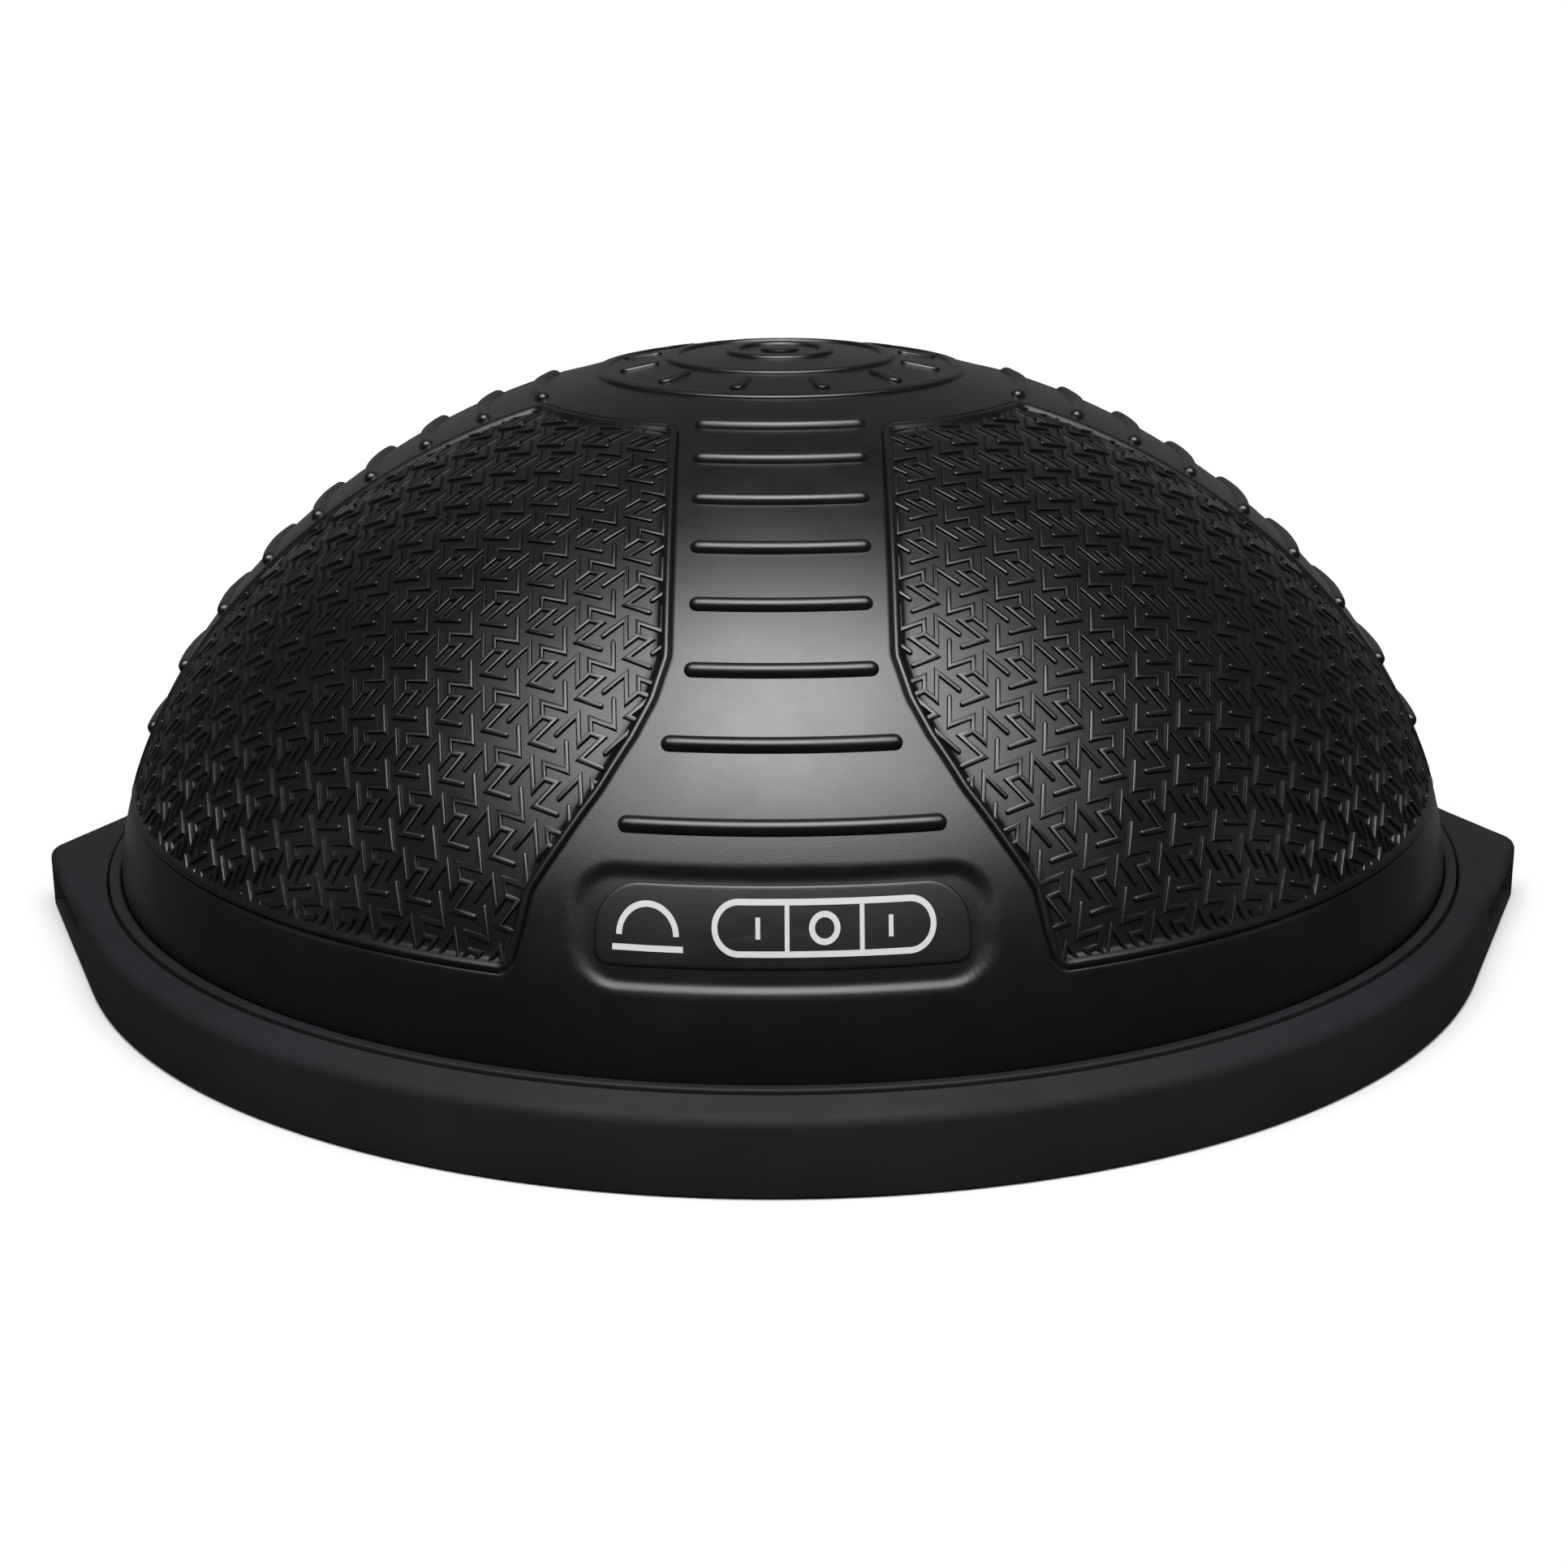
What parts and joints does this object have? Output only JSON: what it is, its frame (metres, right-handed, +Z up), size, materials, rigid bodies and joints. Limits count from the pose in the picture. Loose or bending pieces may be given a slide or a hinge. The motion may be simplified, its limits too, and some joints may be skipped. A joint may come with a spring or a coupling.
{
  "type": "balance dome trainer",
  "caption": "Inflated rubber dome with textured panels and foot ridges, clamped on a round platform with two side grips and a pull-out valve plug.",
  "frame": {"origin": "centre of the footprint on the floor, below the middle of the dome", "axes": "+Z up, +X through the two grips to the viewer's right, -Y to the label side, +Y to the back"},
  "size_m": [0.6808, 0.635, 0.2568],
  "materials": {
    "dome_rubber": "satin moulded",
    "label_film": "satin film with a pale print",
    "clamp_plastic": "matte moulded",
    "bumper_rubber": "matte moulded",
    "deck_plastic": "moulded",
    "base_plastic": "fine moulded grain",
    "gasket_rubber": "matte",
    "screw_steel": "zinc plated",
    "insert_brass": "knurled",
    "valve_plastic": "moulded",
    "plug_rubber": "satin moulded",
    "foot_rubber": "matte ribbed"
  },
  "bodies": {
    "trainer": {"dome_bladder": "dome_rubber", "label_front": "label_film", "clamp_ring": "clamp_plastic", "rim_bumper": "bumper_rubber", "deck_plate": "deck_plastic", "base_shell": "base_plastic", "valve_cup": "base_plastic", "bead_gasket": "gasket_rubber", "rim_screws": "screw_steel", "rim_inserts": "insert_brass", "deck_screws": "screw_steel", "valve_grommet": "gasket_rubber", "valve_body": "valve_plastic", "foot_1": "foot_rubber", "foot_2": "foot_rubber", "foot_3": "foot_rubber", "foot_4": "foot_rubber", "foot_5": "foot_rubber", "foot_6": "foot_rubber"},
    "plug": {"valve_plug": "plug_rubber", "valve_o_ring": "gasket_rubber"}
  },
  "joints": [
    {"name": "plug_pull", "type": "slide", "parent": "trainer", "child": "plug", "axis": [0, 0, -1], "range_m": [0, 0.03]}
  ]
}
